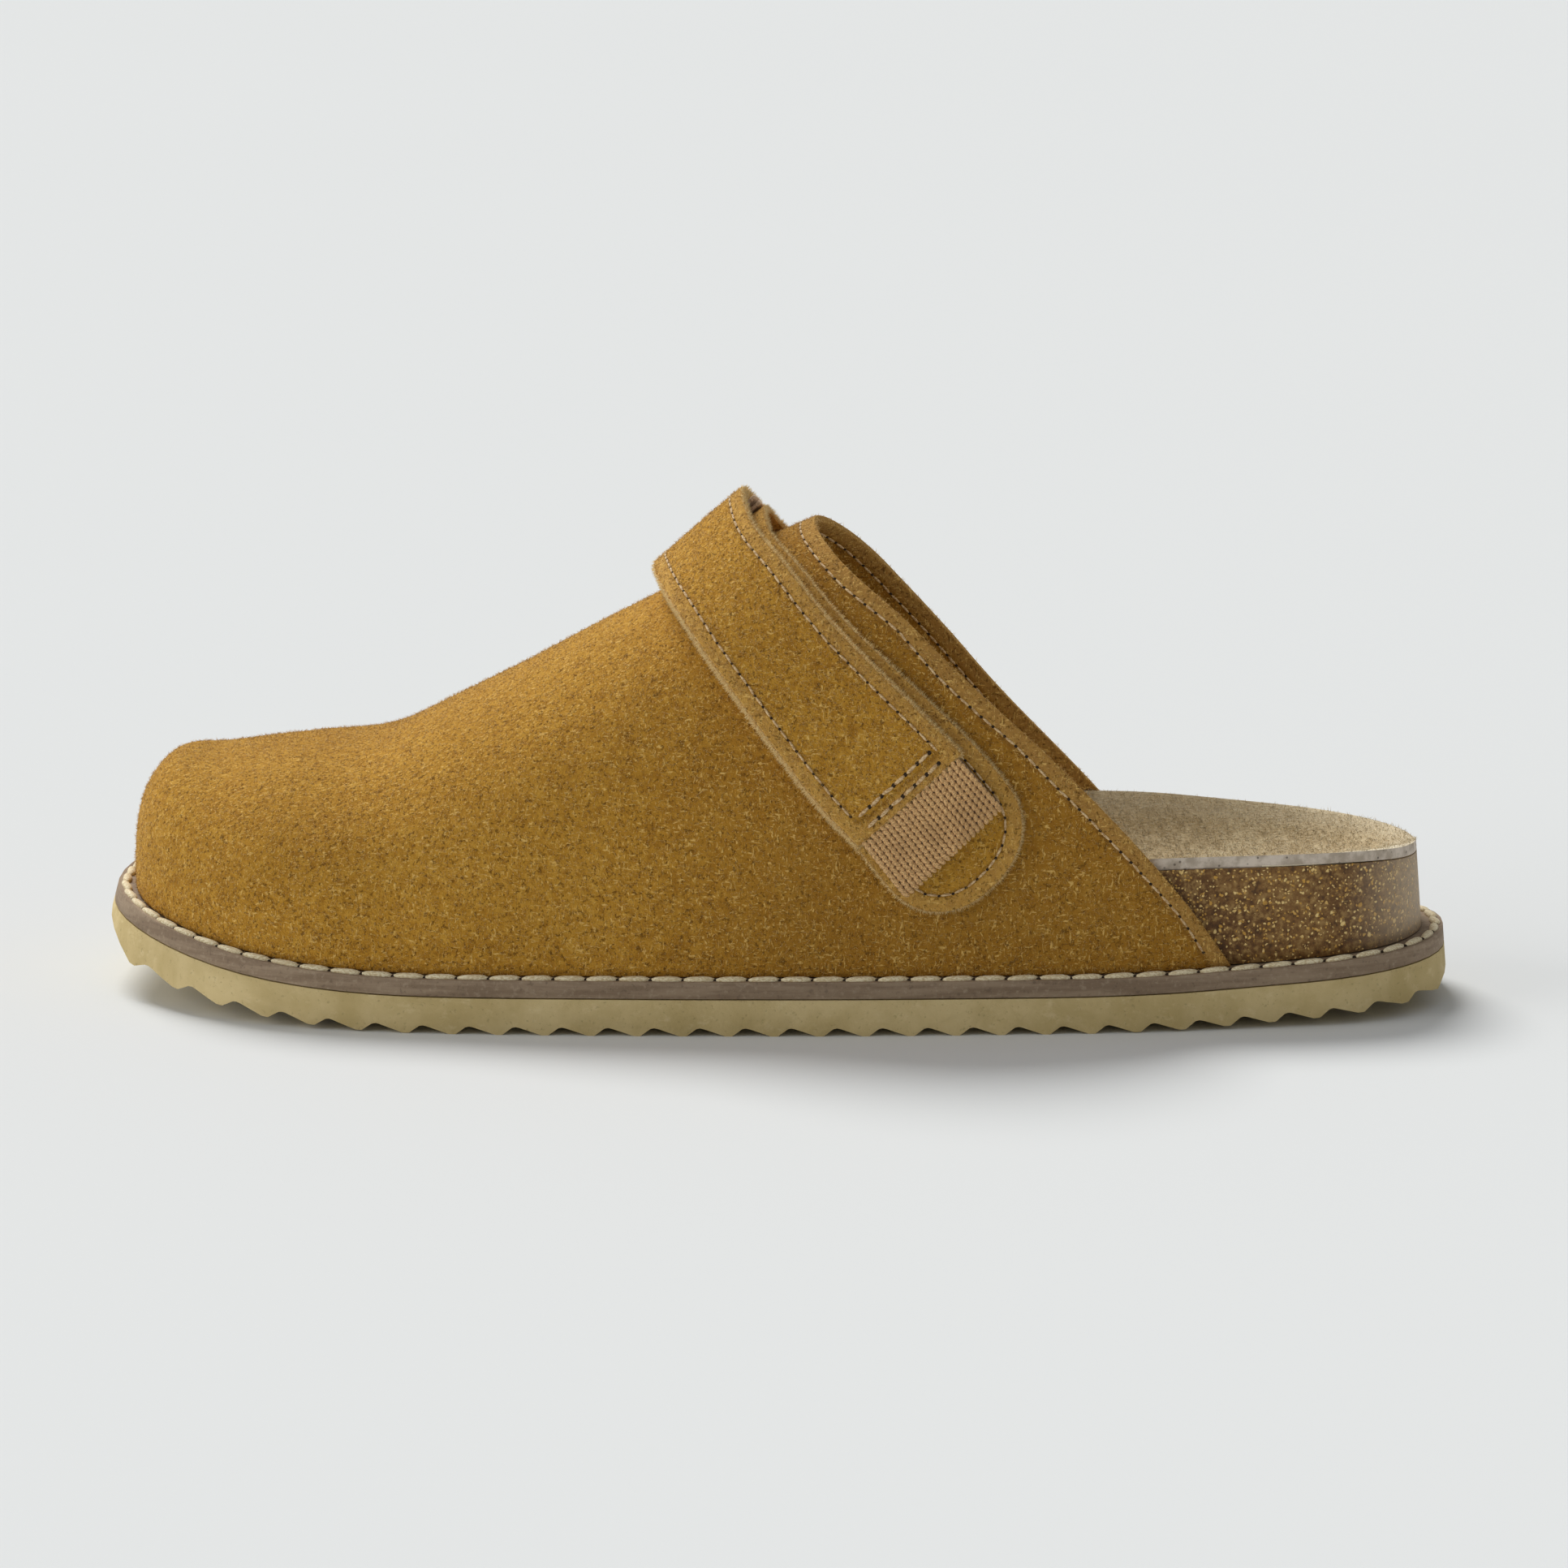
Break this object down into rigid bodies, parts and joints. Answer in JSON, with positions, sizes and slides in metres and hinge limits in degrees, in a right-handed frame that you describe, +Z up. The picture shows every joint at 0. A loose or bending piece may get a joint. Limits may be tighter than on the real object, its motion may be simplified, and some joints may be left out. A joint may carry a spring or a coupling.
{
  "type": "clog slipper",
  "caption": "Left closed-toe clog slipper: hollow suede upper with a strap over the instep, cork footbed with a suede insole, stitched welt and ribbed outsole.",
  "frame": {"origin": "centre of the bounding box in plan, on the floor plane", "axes": "+X from toe to heel, +Y towards the inner side of the foot, +Z up"},
  "size_m": [0.2853, 0.1089, 0.1069],
  "materials": {
    "outsole": "matt pale tan moulded rubber, slightly dusty",
    "welt": "matt grey brown, trimmed edge",
    "cork": "pressed cork, brown with lighter golden flecks",
    "sock_suede": "cream suede, short nap",
    "suede": "tan suede with a short mottled nap",
    "strap_suede": "tan suede with a short mottled nap, paler cut edges",
    "webbing": "ribbed pinkish beige tape"
  },
  "bodies": {
    "root": {"outsole": "outsole", "welt": "welt", "footbed": "cork", "insole": "sock_suede", "upper": "suede", "flap": "strap_suede", "strap": "strap_suede", "pull_tab": "webbing"}
  },
  "joints": []
}
